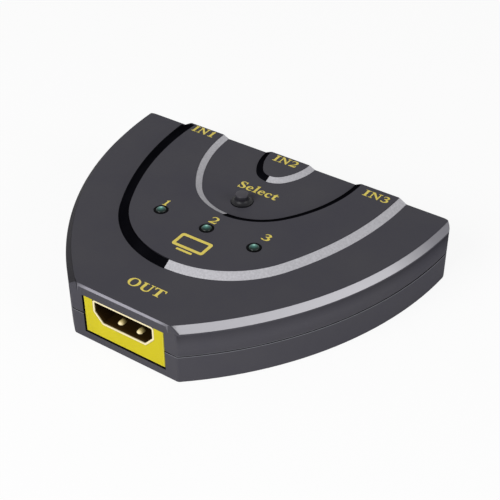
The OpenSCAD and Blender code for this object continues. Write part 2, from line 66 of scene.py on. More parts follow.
# heights and places of the case that more than one piece uses, in mm
case = {
    "frontY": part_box("bottom_cover")[0].y / mm,
    "backY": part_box("bottom_cover")[1].y / mm,
    "rimTop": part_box("rim_strip_silver")[1].z / mm,
    "archTop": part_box("outer_arch_strip_silver")[1].z / mm,
    "fieldTop": 13.75,  # sunk floor inside the middle arch
    "stripSeat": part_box("outer_arch_strip_silver")[0].z / mm,
    "rimLow": 12.1,  # lower edge of the rim's slope
    "seam": 6.7,  # parting line of the two covers
    "groove": 0.3,  # height and depth of the groove along the seam
}


def linearColour(hexCode):  # sRGB hex to the linear values that sockets take
    parts = [int(hexCode[i:i + 2], 16) / 255 for i in (1, 3, 5)]
    return [p / 12.92 if p <= 0.04045 else ((p + 0.055) / 1.055) ** 2.4 for p in parts] + [1]


def addNode(tree, kind, inputs=None, **settings):
    node = tree.nodes.new(kind)
    for key, value in settings.items():
        setattr(node, key, value)
    for key, value in (inputs or {}).items():
        if isinstance(value, bpy.types.NodeSocket):
            tree.links.new(value, node.inputs[key])
        else:
            node.inputs[key].default_value = value
    return node


def startFinish(name):  # a material with its shader and the piece's own coordinates
    material = bpy.data.materials.new(name)
    material.use_nodes = True
    tree = material.node_tree
    tree.nodes.clear()
    shader = addNode(tree, "ShaderNodeBsdfPrincipled")
    addNode(tree, "ShaderNodeOutputMaterial", {"Surface": shader.outputs[0]})
    return material, tree, shader, addNode(tree, "ShaderNodeTexCoord").outputs["Object"]


def endFinish(parts, colour, texture, span, rough, strength, depth, sockets):
    # joins the colour, and turns a texture into gloss and bump; span is the part of the texture in use
    material, tree, shader = parts
    gloss = addNode(tree, "ShaderNodeMapRange", {
        "Value": texture, "From Min": span[0], "From Max": span[1], "To Min": rough[0], "To Max": rough[1]})
    bump = addNode(tree, "ShaderNodeBump", {"Height": texture, "Strength": strength, "Distance": depth * mm})
    tree.links.new(colour, shader.inputs["Base Color"])
    tree.links.new(gloss.outputs["Result"], shader.inputs["Roughness"])
    tree.links.new(bump.outputs["Normal"], shader.inputs["Normal"])
    for key, value in sockets.items():
        shader.inputs[key].default_value = value
    return material


def twoTones(tree, share, tones):  # a colour between two tones
    mix = addNode(tree, "ShaderNodeMixRGB", {
        "Fac": share, "Color1": linearColour(tones[0]), "Color2": linearColour(tones[1])})
    return mix.outputs[0]


def grainFinish(name, tones, cloudSize, grainSize, rough, depth, sockets):
    # two tones in soft clouds, and a fine grain that sets the gloss and the bump; sizes in mm
    # a real tool's grain is finer, this one is as coarse as it needs to show
    material, tree, shader, place = startFinish(name)
    span = (0.3, 0.7)  # noise hardly leaves this part
    clouds = addNode(tree, "ShaderNodeTexNoise",
                     {"Vector": place, "Scale": 1 / (cloudSize * mm), "Detail": 3})
    grain = addNode(tree, "ShaderNodeTexNoise",
                    {"Vector": place, "Scale": 1 / (grainSize * mm), "Detail": 2})
    spread = addNode(tree, "ShaderNodeMapRange",
                     {"Value": clouds.outputs["Fac"], "From Min": span[0], "From Max": span[1]})
    colour = twoTones(tree, spread.outputs["Result"], tones)
    return endFinish((material, tree, shader), colour, grain.outputs["Fac"], span, rough, 0.6, depth, sockets)


def brushedFinish(name, tones, lineGap, lineLength, rough, turn, sockets):
    # a metal drawn along one way: noise stretched into lines; sizes in mm
    material, tree, shader, place = startFinish(name)
    stretch = addNode(tree, "ShaderNodeMapping", {
        "Vector": place, "Rotation": (0, 0, turn),
        "Scale": (1 / (lineLength * mm), 1 / (lineGap * mm), 1 / (lineGap * mm))})
    lines = addNode(tree, "ShaderNodeTexNoise",
                    {"Vector": stretch.outputs[0], "Scale": 1, "Detail": 3}).outputs["Fac"]
    return endFinish((material, tree, shader), twoTones(tree, lines, tones), lines, (0, 1), rough, 0.3, 0.01,
                     sockets)


# ABS moulded in an eroded tool: dark grey with a blue cast, satin, soft highlights
caseAbs = grainFinish("caseAbsEroded", ("#424148", "#46454a"), 14, 0.35, (0.44, 0.54), 0.006,
                      {"IOR": 1.5, "Specular IOR Level": 0.05})
# silver on the trim's slopes that face right, painted light: fine flakes, soft metal glow
silverPaintedLight = grainFinish("trimSilverPaintedLight", ("#a7a6ab", "#b9b8bd"), 0.4, 0.2, (0.4, 0.52), 0.004,
                            {"Metallic": 0.1, "Specular IOR Level": 0.2})
# black on the trim's slopes that face left, painted shade: deep and flat, hardly any sheen
blackPaintedShade = grainFinish("trimBlackPaintedShade", ("#08080b", "#0d0d11"), 6, 0.2, (0.5, 0.6), 0.004,
                           {"Specular IOR Level": 0.0})
# the left rim strip, which faces left, painted shade: a dark grey
darkRimPaintedShade = grainFinish("trimDarkPaintedShade", ("#222125", "#272629"), 8, 0.3, (0.45, 0.55), 0.005,
                          {"IOR": 1.5, "Specular IOR Level": 0.05})
# yellow ABS moulded in a polished tool: even colour, light sheen
yellowAbs = grainFinish("plateYellowPolished", ("#b9ac12", "#bfb219"), 7, 0.3, (0.34, 0.42), 0.003,
                        {"IOR": 1.5, "Specular IOR Level": 0.12})
# gold on the contacts, darkened to a brown gold as painted shade inside the sockets, with little shine
contactPaintedShade = grainFinish("contactGoldPaintedShade", ("#4a3719", "#5c4520"), 1.2, 0.2, (0.4, 0.55), 0.002,
                          {"Specular IOR Level": 0.1})
# liquid crystal polymer, moulded dark: matt, nearly black
insulatorLcp = grainFinish("insulatorLcpMoulded", ("#150f06", "#1c150a"), 3, 0.2, (0.5, 0.62), 0.004,
                           {"IOR": 1.55, "Specular IOR Level": 0.1})
# black nylon ring round a lamp: deep and flat
ringNylon = grainFinish("ringNylonMoulded", ("#040405", "#08080a"), 2, 0.2, (0.4, 0.5), 0.003,
                        {"Specular IOR Level": 0.02})
# gold ink laid by pad printing: flat film, slightly mottled
goldInk = grainFinish("markGoldPrinted", ("#d6c252", "#e3d069"), 1.2, 0.15, (0.45, 0.6), 0.002,
                      {"IOR": 1.5, "Specular IOR Level": 0.3})
# epoxy moulding compound of a chip: matt black with fine filler
chipEpoxy = grainFinish("chipEpoxyMoulded", ("#141416", "#1b1b1e"), 2, 0.12, (0.55, 0.7), 0.004,
                        {"IOR": 1.5, "Specular IOR Level": 0.3})
# zinc plated screw steel, turned: rings of light
screwZinc = brushedFinish("screwZincTurned", ("#8b8b90", "#a9a9ae"), 0.08, 1.2, (0.28, 0.42), 0.6,
                          {"Metallic": 1.0})
# cold rolled steel of the switch: lines along the strip
switchSteel = brushedFinish("switchSteelRolled", ("#a4a3a6", "#c2c1c4"), 0.06, 2.0, (0.25, 0.4), 0,
                            {"Metallic": 1.0})
# tinned copper wire of the legs and terminals: dull silver
tinnedWire = brushedFinish("wireTinnedDrawn", ("#9d9da0", "#bcbcc0"), 0.05, 1.5, (0.3, 0.45), 1.2,
                           {"Metallic": 1.0})


def boardFinish(name):  # glass epoxy board under green solder resist: tracks show as lighter lines
    material, tree, shader, place = startFinish(name)
    trackPitch, weavePitch = 4.0, 0.4  # mm
    tracks = addNode(tree, "ShaderNodeTexBrick", {
        "Vector": place, "Scale": 1 / (trackPitch * mm), "Mortar Size": 0.02,
        "Color1": linearColour("#0d4a2a"), "Color2": linearColour("#0f5230"),
        "Mortar": linearColour("#2a7a4a")})
    weave = addNode(tree, "ShaderNodeTexNoise", {"Vector": place, "Scale": 1 / (weavePitch * mm)})
    return endFinish((material, tree, shader), tracks.outputs["Color"], weave.outputs["Fac"], (0, 1),
                     (0.25, 0.45), 0.4, 0.01, {})


def gradedFinish(name, measure, stops, grainSize, rough, sockets):
    # colours that follow a place on the piece: stops are (mm, hex), measure picks the length
    # a plain letter counts both ways from the middle, a letter after + only one way
    material, tree, shader, place = startFinish(name)
    if measure == "glow":
        length = addNode(tree, "ShaderNodeAttribute", attribute_name="glow").outputs["Fac"]
    else:
        split = addNode(tree, "ShaderNodeSeparateXYZ", {0: place})
        length = split.outputs[measure[-1]]
        if measure[0] != "+":
            length = addNode(tree, "ShaderNodeMath", {0: length}, operation="ABSOLUTE").outputs[0]
    first, last = stops[0][0], stops[-1][0]
    share = addNode(tree, "ShaderNodeMapRange",
                    {"Value": length, "From Min": first * mm, "From Max": last * mm})
    ramp = addNode(tree, "ShaderNodeValToRGB", {"Fac": share.outputs["Result"]})
    band = ramp.color_ramp
    while len(band.elements) < len(stops):
        band.elements.new(0.5)
    for element, (at, hexCode) in zip(band.elements, stops):
        element.position = (at - first) / (last - first)
        element.color = linearColour(hexCode)
    grain = addNode(tree, "ShaderNodeTexNoise",
                    {"Vector": place, "Scale": 1 / (grainSize * mm), "Detail": 2})
    return endFinish((material, tree, shader), ramp.outputs["Color"], grain.outputs["Fac"], (0, 1), rough,
                     0.4, 0.003, sockets)


# gold plating on a pressed shell: a pale cream painted highlight at the two mouths, and painted shade turning
# it dark brown deeper inside
shellGoldPaintedLight = gradedFinish("shellGoldPaintedLightAndShade", "Y",
                         [(24.0, "#1a1206"), (28.3, "#281a06"), (29.1, "#3d2c10"), (29.22, "#dacda4"),
                          (29.5, "#e6dab4")],
                         0.25, (0.4, 0.5), {"Specular IOR Level": 0.1})
# the same silver on the right rim as painted light, with painted shade that darkens it towards its back end
# at the input face
rimSilverPaintedLight = gradedFinish("rimSilverPaintedLightAndShade", "+Y",
                         [(-29.5, "#a09fa4"), (0, "#b2b1b6"), (8, "#b4b3b8"), (15, "#9c9ba0"),
                          (22, "#807f85"), (29.5, "#78777d")],
                         0.3, (0.4, 0.52), {"Metallic": 0.1, "Specular IOR Level": 0.2})
# the springs: a nearly white painted highlight on the tips near the mouth, and painted shade turning them
# dark brown deeper in
springPaintedLight = gradedFinish("springGoldPaintedLightAndShade", "Y",
                          [(25.0, "#281a06"), (26.3, "#3a2a0c"), (27.2, "#d9c583"), (28.0, "#fff0c4"),
                           (29.5, "#fff0c4")],
                          0.25, (0.35, 0.45), {"Specular IOR Level": 0.2})
# the output face's upper edge: a painted highlight, a pale line that dies out at both corners
edgePaintedHighlight = gradedFinish("edgeAbsPaintedHighlight", "X",
                       [(0, "#8c8a93"), (8.5, "#87858e"), (11, "#55545a"), (13, "#45444b")],
                       0.3, (0.4, 0.5), {"Specular IOR Level": 0.2})
# the button's ABS, polished: the cap in a mid grey, and painted shade darkening the flare and everything
# below it
buttonPaintedShade = gradedFinish("buttonAbsPaintedShade", "Z",
                         [(10.0, "#131316"), (14.0, "#111114"), (14.9, "#1e1d22"), (15.5, "#2e2d32"),
                          (15.75, "#3c3a40")],
                         0.3, (0.36, 0.46), {"Specular IOR Level": 0.2})
# tinted epoxy cast round a lamp: a mint painted highlight a little off the axis, teal round it, and painted
# shade turning it dark green at the rim
lampPaintedLight = gradedFinish("lampEpoxyCast", "glow",
                         [(0, "#c4f4e6"), (0.18, "#9adcca"), (0.4, "#4f857b"), (0.75, "#2b554d"),
                          (1.0, "#142c27"), (1.3, "#0a1513")],
                         0.3, (0.1, 0.16), {"IOR": 1.55, "Specular IOR Level": 0.2})
# the parting line's lower lip: a painted highlight, a shade lighter than the case
lipPaintedHighlight = grainFinish("lipAbsPaintedHighlight", ("#626268", "#68686e"), 9, 0.3, (0.42, 0.5), 0.004,
                     {"IOR": 1.5, "Specular IOR Level": 0.2})
# painted shade on grooves and hidden sides, nearly black so that they read as dark lines; rough from the
# spark erosion
paintedShadeAbs = grainFinish("grooveAbsPaintedShade", ("#101013", "#151518"), 5, 0.3, (0.6, 0.7), 0.01,
                       {"Specular IOR Level": 0.0})
# the face plate's rounded edge: a painted highlight, paler than its flat
plateEdgePaintedHighlight = grainFinish("plateEdgeAbsPaintedHighlight", ("#cabf30", "#d0c53a"), 4, 0.3, (0.3, 0.4), 0.003,
                           {"IOR": 1.5, "Specular IOR Level": 0.2})
boardResist = boardFinish("boardSolderResist")
print("finishes made:", len(bpy.data.materials))


def newPiece(name, mesh, materials, body, nodes=()):
    # puts a finished mesh in the scene and ties it to the frame
    chosen = [min(face.material_index, len(materials) - 1) for face in mesh.polygons]
    mesh.materials.clear()  # this also clears each face's choice
    for material in materials:
        mesh.materials.append(material)
    mesh.polygons.foreach_set("material_index", chosen)
    piece = bpy.data.objects.new(name, mesh)
    scene.collection.objects.link(piece)
    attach(piece, body)
    if nodes:
        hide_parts(*nodes)
    return piece


def plainMesh(piece):  # the evaluated mesh of a helper object, which is then removed
    scene.collection.objects.link(piece)
    graph = bpy.context.evaluated_depsgraph_get()
    graph.update()
    mesh = bpy.data.meshes.new_from_object(piece.evaluated_get(graph), depsgraph=graph)
    bpy.data.objects.remove(piece)
    return mesh


def evenShading(mesh, sharpAngle=40):  # smooth faces, hard creases, normals weighted by face size
    for face in mesh.polygons:
        face.use_smooth = True
    mesh.set_sharp_from_angle(angle=math.radians(sharpAngle))
    helper = bpy.data.objects.new("shadingHelper", mesh)
    weight = helper.modifiers.new("weight", "WEIGHTED_NORMAL")
    weight.keep_sharp = True
    return plainMesh(helper)


def meshFrom(bm, name):  # ends the making of a mesh
    mesh = bpy.data.meshes.new(name)
    bm.to_mesh(mesh)
    bm.free()
    return mesh


def softenedCopy(node, edgeRules, steps=3):
    # a merged copy of a CAD node whose hard edges are rounded, rule by rule: width, test, finish or -1
    bm = bmesh.new()
    bm.from_mesh(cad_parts[node].data)
    weld, flat, hard = 0.001, 0.6, 25  # merging distance in mm, flat and hard edges in degrees
    bmesh.ops.remove_doubles(bm, verts=bm.verts, dist=weld * mm)
    bmesh.ops.dissolve_limit(bm, angle_limit=math.radians(flat), verts=bm.verts, edges=bm.edges)
    for width, test, finish in edgeRules:
        chosen = []
        for edge in bm.edges:
            if len(edge.link_faces) == 2 and edge.calc_face_angle() > math.radians(hard):
                middle = (edge.verts[0].co + edge.verts[1].co) / 2 / mm
                if test(middle, [face.normal for face in edge.link_faces]):
                    chosen.append(edge)
        if chosen:
            bmesh.ops.bevel(bm, geom=chosen, offset=width * mm, offset_type="OFFSET", segments=steps,
                            profile=0.5, affect="EDGES", clamp_overlap=True, material=finish)
    return meshFrom(bm, node)


def rounded(corners, closed, steps=5):  # a line whose corners (x, y, radius) become arcs
    line = []
    for i, (x, y, radius) in enumerate(corners):
        corner = Vector((x, y))
        if radius == 0 or (not closed and i in (0, len(corners) - 1)):
            line.append(corner)
            continue
        before = (Vector(corners[i - 1][:2]) - corner).normalized()
        after = (Vector(corners[(i + 1) % len(corners)][:2]) - corner).normalized()
        half = before.angle(after) / 2
        centre = corner + (before + after).normalized() * radius / math.sin(half)
        start = (corner + before * radius / math.tan(half) - centre).normalized()
        end = (corner + after * radius / math.tan(half) - centre).normalized()
        line += [centre + start.slerp(end, k / steps) * radius for k in range(steps + 1)]
    return line


def turnedMesh(name, line, centre, closed, turns=64):
    # a line of (radius, height) in mm spun round an upright axis at centre
    bm = bmesh.new()
    verts = [bm.verts.new((point[0] * mm, 0, point[1] * mm)) for point in line]
    pairs = list(zip(verts, verts[1:]))
    if closed:
        pairs.append((verts[-1], verts[0]))
    edges = [bm.edges.new(pair) for pair in pairs]
    bmesh.ops.spin(bm, geom=verts + edges, cent=(0, 0, 0), axis=(0, 0, 1),
                   angle=2 * math.pi, steps=turns)
    bmesh.ops.remove_doubles(bm, verts=bm.verts, dist=0.0005 * mm)
    bmesh.ops.recalc_face_normals(bm, faces=bm.faces)
    bmesh.ops.translate(bm, verts=bm.verts, vec=(centre[0] * mm, centre[1] * mm, 0))
    return meshFrom(bm, name)


def startTree(name, sizes, counts=()):  # a Geometry Nodes tree with named inputs
    tree = bpy.data.node_groups.new(name, "GeometryNodeTree")
    tree.interface.new_socket("Geometry", in_out="INPUT", socket_type="NodeSocketGeometry")
    for size in sizes:
        tree.interface.new_socket(size, in_out="INPUT", socket_type="NodeSocketFloat")
    for count in counts:
        tree.interface.new_socket(count, in_out="INPUT", socket_type="NodeSocketInt")
    tree.interface.new_socket("Finish", in_out="INPUT", socket_type="NodeSocketMaterial")
    tree.interface.new_socket("Geometry", in_out="OUTPUT", socket_type="NodeSocketGeometry")
    return tree, addNode(tree, "NodeGroupInput").outputs


def endTree(tree, geometry, given):  # every tree ends in realised instances with their finish
    real = addNode(tree, "GeometryNodeRealizeInstances", {"Geometry": geometry})
    finish = addNode(tree, "GeometryNodeSetMaterial",
                     {"Geometry": real.outputs[0], "Material": given["Finish"]})
    addNode(tree, "NodeGroupOutput", {"Geometry": finish.outputs[0]})


def grownMesh(mesh, tree, values):  # runs a tree over a base mesh and keeps the plain result
    helper = bpy.data.objects.new("treeHelper", mesh)
    modifier = helper.modifiers.new("tree", "NODES")
    modifier.node_group = tree
    for socket in tree.interface.items_tree:
        if socket.in_out == "INPUT" and socket.name in values:
            modifier[socket.identifier] = values[socket.name]
    return plainMesh(helper)


# Covers
covers = {
    "frontEdge": 0.4,  # soft upper edge of the output face, mm
    "backEdge": 0.35,
    "footEdge": 0.35,  # rounded bottom edge
    "seamEdge": 0.12,  # catches the light along the seam
    "stripEdge": 0.13,  # beside each inlaid strip
    "windowEdge": 0.05,  # round the face plate
    "portEdge": 0.2,  # round each input socket
    "boreEdge": 0.12,  # button bore and screw wells
    "boreReach": 3,  # edges this near to the button's axis belong to its bore
    "windowReach": 10,  # half width that takes in the face plate's window
    "windowDeep": 2,
    "windowTurn": 0.3,  # a face that looks forward by more than this is the output face
    "portDrop": 1.5,  # ports lie between the seam and the rim, both lowered by this
    "wellReach": 24,  # foot edges nearer to the middle than this are screw wells
    "middleY": 5,  # a wall that faces away from here is an outside wall
}
near, loose = 0.02, 0.05  # mm from a plane of the CAD, and from one that is slightly rounded
square, wallTilt = 0.9, 0.2  # a normal's least share along an axis, and a wall's most along z
buttonPlace = (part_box("select_button")[0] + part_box("select_button")[1]) / 2 / mm


def facesOut(p, normals):  # one of the faces is an outside wall
    return any(abs(n.z) < wallTilt and n.x * p.x + n.y * (p.y - covers["middleY"]) > 0 for n in normals)


def atFront(p):
    return p.y < case["frontY"] + near


def atBack(p):
    return p.y > case["backY"] - near


def byButton(p):
    return math.hypot(p.x - buttonPlace.x, p.y - buttonPlace.y) < covers["boreReach"]


def frontTop(p, normals):
    return atFront(p) and p.z > case["rimLow"] - loose and any(n.y < -square for n in normals)


def backTop(p, normals):
    return atBack(p) and p.z > case["rimTop"] - loose and any(n.z > square for n in normals)


def stripSide(p, normals):
    return (p.z > case["rimTop"] - loose and any(n.z > square for n in normals)
            and not atBack(p) and not byButton(p))


def buttonBore(p, normals):
    return abs(p.z - case["fieldTop"]) < near and byButton(p)


def seamLip(p, normals):
    low, high = case["seam"] - case["groove"], case["seam"]
    return (min(abs(p.z - low), abs(p.z - high)) < near and any(abs(n.z) > square for n in normals)
            and facesOut(p, normals))


def window(p, normals):
    return atFront(p) and abs(p.x) < covers["windowReach"] and any(n.y < -square for n in normals)


def port(p, normals):
    low, high = case["seam"] - covers["portDrop"], case["rimTop"] - covers["portDrop"]
    return atBack(p) and low < p.z < high and any(n.y > square for n in normals)


def footLine(p, normals):
    return (p.z < near and any(n.z < -square for n in normals) and facesOut(p, normals)
            and math.hypot(p.x, p.y) > covers["wellReach"])


def screwWell(p, normals):
    return p.z < near and not footLine(p, normals)


# finish 1 in a rule is the cover's painted highlight: the output face's upper edge on top, the seam's lower
# lip below
topRules = [(covers["frontEdge"], frontTop, 1), (covers["backEdge"], backTop, -1),
            (covers["boreEdge"], buttonBore, -1),
            (covers["stripEdge"], stripSide, -1), (covers["seamEdge"], seamLip, -1),
            (covers["windowEdge"], window, -1), (covers["portEdge"], port, -1)]
footRules = [(covers["footEdge"], footLine, -1), (covers["boreEdge"], screwWell, -1),
             (covers["seamEdge"], seamLip, 1), (covers["windowEdge"], window, -1),
             (covers["portEdge"], port, -1)]


def inShade(face):  # faces that get painted shade: the bottom of the seam's groove, and the window's sides behind the output face
    p, n = face.center / mm, face.normal
    groove = (case["seam"] - case["groove"] - near < p.z < case["seam"]
              and (n.z > square or abs(n.z) < wallTilt))
    sides = (abs(p.x) < covers["windowReach"] and n.y > -covers["windowTurn"]
             and case["frontY"] < p.y < case["frontY"] + covers["windowDeep"])
    return groove or sides


# each cover's second finish is its painted highlight, and its third is painted shade
for node, name, rules, edge in (("top_cover", "topCover", topRules, edgePaintedHighlight),
                                ("bottom_cover", "bottomCover", footRules, lipPaintedHighlight)):
    mesh = evenShading(softenedCopy(node, rules))
    # these faces take the painted shade
    for face in mesh.polygons:
        if inShade(face):
            face.material_index = 2
    newPiece(name, mesh, [caseAbs, edge, paintedShadeAbs], "case", [node])
print("covers softened")

# Inlaid strips: one section swept along the edge of each terrace
strips = {  # plan of each terrace in mm; inner and outer edge of its strip: offset and height
    "outerArch": {"half": 27.1, "reach": 43.9, "nose": 21.5, "inner": (0, "archTop"),
                  "outer": (1.8, "rimTop"), "left": "black", "right": "silver", "node": "outer_arch_strip"},
    "field": {"half": 18, "reach": 25.6, "nose": 14.2, "inner": (-1.4, "fieldTop"),
              "outer": (0, "archTop"), "left": "silver", "right": "black", "node": "field_strip"},
    "island": {"half": 4.9, "reach": 8.3, "nose": 3.2, "inner": (0, "archTop"),
               "outer": (1.5, "fieldTop"), "left": "black", "right": "silver", "node": "island_strip"},
}
stripEdges = {"silver": 0.1, "black": 0.16}  # rounding of the long edges, mm
stripTree, given = startTree("stripAlongEdge", ("Inner", "Inner Height", "Outer", "Outer Height",
                                                "Seat Height", "Edge Radius"))
corners = {}
for i, (across, up) in enumerate((("Inner", "Seat Height"), ("Outer", "Seat Height"),
                                  ("Outer", "Outer Height"), ("Inner", "Inner Height"))):
    corners["Point %d" % (i + 1)] = addNode(stripTree, "ShaderNodeCombineXYZ",
                                            {"X": given[across], "Y": given[up]}).outputs[0]
section = addNode(stripTree, "GeometryNodeCurvePrimitiveQuadrilateral", corners, mode="POINTS")
softSection = addNode(stripTree, "GeometryNodeFilletCurve",
                      {"Curve": section.outputs[0], "Count": 4, "Radius": given["Edge Radius"],
                       "Limit Radius": True}, mode="POLY")
path = addNode(stripTree, "GeometryNodeMeshToCurve", {"Mesh": given["Geometry"]})
upright = addNode(stripTree, "GeometryNodeSetCurveNormal", {"Curve": path.outputs[0]}, mode="Z_UP")
turned = addNode(stripTree, "GeometryNodeSetCurveTilt", {"Curve": upright.outputs[0], "Tilt": math.pi})
swept = addNode(stripTree, "GeometryNodeCurveToMesh",
                {"Curve": turned.outputs[0], "Profile Curve": softSection.outputs[0], "Fill Caps": True})
endTree(stripTree, swept.outputs[0], given)


def terraceLine(terrace, side, pitch=0.5):  # half of a terrace's edge in mm, from the back to the nose
    half, reach, nose = terrace["half"], terrace["reach"], terrace["nose"]
    shift = ((reach - nose) ** 2 - (half - nose) ** 2) / (2 * (half - nose))
    turn = math.atan2(reach - nose, shift)
    line = []
    for centre, radius, start, end in (((-shift, case["backY"]), shift + half, 0, turn),
                                       ((0, case["backY"] - reach + nose), nose, turn, math.pi / 2)):
        count = max(6, round(radius * (end - start) / pitch))
        shares = [k / count for k in range(count + 1)]
        tiny = 0.01 / count  # a tiny first and last step, so that both ends are cut square
        shares = [0, tiny] + shares[1:] if not line else shares[1:-1] + [1 - tiny, 1]
        for share in shares:
            angle = start + (end - start) * share
            line.append(Vector((side * (centre[0] + radius * math.cos(angle)),
                                centre[1] - radius * math.sin(angle), 0)))
    return line if side > 0 else line[::-1]  # so that outward is always on the same hand


# whichever half of a strip faces right takes silver as painted light, and the half that faces left takes
# black as painted shade
stripFinish = {"silver": (silverPaintedLight, "trim_silver"), "black": (blackPaintedShade, "trim_black")}
for name, terrace in strips.items():
    for side, hand in ((-1, "left"), (1, "right")):
        line = terraceLine(terrace, side)
        base = bpy.data.meshes.new("stripPath")
        base.from_pydata([p * mm for p in line], [(i, i + 1) for i in range(len(line) - 1)], [])
        tone = terrace[hand]
        finish, slot = stripFinish[tone]
        mesh = grownMesh(base, stripTree, {
            "Inner": terrace["inner"][0] * mm, "Inner Height": case[terrace["inner"][1]] * mm,
            "Outer": terrace["outer"][0] * mm, "Outer Height": case[terrace["outer"][1]] * mm,
            "Seat Height": case["stripSeat"] * mm, "Edge Radius": stripEdges[tone] * mm, "Finish": finish})
        newPiece(name + hand.capitalize() + "Strip", evenShading(mesh, sharpAngle=50), [finish], "case",
                 [terrace["node"] + "_" + tone])

# Painted shade: black film a little past two black strips, thin on the cover beside them, so that the shaded
# bands read wider
paintedShadeBorders = {  # film from one offset to another at the nose and at the back, and how fast it widens
    "archBorderOuter": {"terrace": "outerArch", "side": -1, "from": 1.7, "nose": 2.0, "back": 2.6,
                        "bend": 0.6, "surface": "rimTop"},
    "archBorderInner": {"terrace": "outerArch", "side": -1, "from": 0.1, "nose": 0.0, "back": -1.2,
                        "bend": 2.0, "surface": "archTop"},
    "fieldBorder": {"terrace": "field", "side": 1, "from": -0.1, "nose": 0.4, "back": 0.1,
                    "bend": 2.0, "surface": "archTop"},
}
borderPitch = 0.1  # mm
borderFilm = 0.02  # thickness on the surface, and as much sunk in it, mm


def borderMesh(name, border):  # a flat ribbon beside a terrace's edge
    line = [p for p in terraceLine(strips[border["terrace"]], border["side"], borderPitch)
            if p.y < case["backY"] - covers["backEdge"]]
    noseY = min(p.y for p in line)
    bm = bmesh.new()
    rows = []
    for i, spot in enumerate(line):
        along = (line[min(i + 1, len(line) - 1)] - line[max(i - 1, 0)]).normalized()
        outward = Vector((-along.y, along.x, 0))
        share = (spot.y - noseY) / (case["backY"] - noseY)
        reach = border["nose"] + (border["back"] - border["nose"]) * share ** border["bend"]
        low, high = case[border["surface"]] - borderFilm, case[border["surface"]] + borderFilm
        ring = ((border["from"], low), (reach, low), (reach, high), (border["from"], high))
        rows.append([bm.verts.new((spot + outward * offset + Vector((0, 0, z))) * mm) for offset, z in ring])
    for first, second in zip(rows, rows[1:]):
        for k in range(4):
            bm.faces.new((first[k], first[(k + 1) % 4], second[(k + 1) % 4], second[k]))
    bm.faces.new(rows[0])
    bm.faces.new(rows[-1])
    bmesh.ops.recalc_face_normals(bm, faces=bm.faces)
    return meshFrom(bm, name)


for name, border in paintedShadeBorders.items():
    newPiece(name, evenShading(borderMesh(name, border)), [blackPaintedShade], "case")

rims = {"edge": 0.12, "cheek": 0.3, "groove": 0.12}  # bare cheek at the output face, groove behind it
rimRules = [(rims["edge"], lambda p, normals: p.z > case["rimLow"] - 2 * loose, -1)]


def rimMesh(node):  # a rim strip with a groove across it, behind its cheek in the case's finish
    mesh = softenedCopy(node, rimRules)
    bm = bmesh.new()
    bm.from_mesh(mesh)
    start = case["frontY"] + rims["cheek"]
    for y in (start, start + rims["groove"]):
        bmesh.ops.bisect_plane(bm, geom=bm.verts[:] + bm.edges[:] + bm.faces[:],
                               plane_co=(0, y * mm, 0), plane_no=(0, 1, 0))
    band = [face for face in bm.faces
            if face.normal.z > wallTilt and start < face.calc_center_median().y / mm < start + rims["groove"]]
    sunk = bmesh.ops.extrude_face_region(bm, geom=band)["geom"]
    inward = -sum((face.normal for face in band), Vector()).normalized() * rims["groove"] * mm
    bmesh.ops.translate(bm, verts=[v for v in sunk if isinstance(v, bmesh.types.BMVert)], vec=inward)
    bmesh.ops.delete(bm, geom=band, context="FACES_ONLY")
    for face in bm.faces:  # the cheek and the short upright skirt under the slope keep the case's finish, without the painted light or shade
        centre = face.calc_center_median() / mm
        skirt = centre.z < case["rimLow"] - near and abs(face.normal.z) < wallTilt
        face.material_index = int(skirt or centre.y < start + rims["groove"])
    bm.to_mesh(mesh)
    bm.free()
    return mesh


for node, name, finish, slot in (("rim_strip_silver", "rimStripRight", rimSilverPaintedLight, "trim_silver"),
                                 ("rim_strip_dark", "rimStripLeft", darkRimPaintedShade, "trim_dark")):
    newPiece(name, evenShading(rimMesh(node)), [finish, caseAbs], "case", [node])
print("strips swept")

# Face plate round the output socket
plate = {"edge": 0.22, "inset": 0.15, "reach": 0.5}  # rounding, and how far the outer border is drawn in
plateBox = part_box("out_face_plate")


def plateEdge(p, normals):  # the three outer edges of the plate's face, which take the painted highlight
    return any(n.y < -square for n in normals) and (
        abs(p.x) > plateBox[1].x / mm - near or p.z < plateBox[0].z / mm + near)


plateMesh = softenedCopy("out_face_plate", [(plate["edge"], plateEdge, 1)])
for vertex in plateMesh.vertices:
    if abs(vertex.co.x) > plateBox[1].x - plate["reach"] * mm:
        vertex.co.x -= math.copysign(plate["inset"] * mm, vertex.co.x)
    if vertex.co.z < plateBox[0].z + plate["reach"] * mm:
        vertex.co.z += plate["inset"] * mm
newPiece("facePlate", evenShading(plateMesh), [yellowAbs, plateEdgePaintedHighlight], "case",
         ["out_face_plate"])

# Sockets: softened shells, and contacts instanced in two rows on each tongue
sockets = {
    "edge": 0.12,
    "corners": ((0.6, 7.2, 7.6), (0.4, 6.8, 7.2)),  # upper corners: rounding, half widths they lie between
    "cornerLow": 1,  # they lie above this height over the axis
    "cornerTurn": 0.1,  # and their faces look along the socket by less than this
    "floor": -2.275,  # shell's floor below the axis
    "springReach": 3.2,  # the springs lie within this half width
    "springDepth": (1, 6),  # and between these distances from the mouth
    "height": 8.3,  # axis above the table, mm
    "inPitch": 23,
    "contactPitch": 1.0,
    "upperCount": 10,
    "contactWidth": 0.3,
    "contactThick": 0.15,
    "contactBend": 0.14,
    "tipBack": 2.7,  # contacts start this far behind the mouth
    "tailBack": 11.65,
    "footBack": 12.45,
    "tongueRise": 0.5,
    "tongueThick": 1.3,
    "boardTop": -2.775,  # board's face below the axis
}
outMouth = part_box("out_socket_shell")[0].y / mm
socketPlaces = {"out": Matrix.Translation(Vector((0, outMouth, sockets["height"])) * mm)}
for i in (1, 2, 3):
    spot = Vector(((i - 2) * sockets["inPitch"], case["backY"], sockets["height"])) * mm
    socketPlaces["in_%d" % i] = Matrix.Translation(spot) @ Matrix.Rotation(math.pi, 4, "Z")

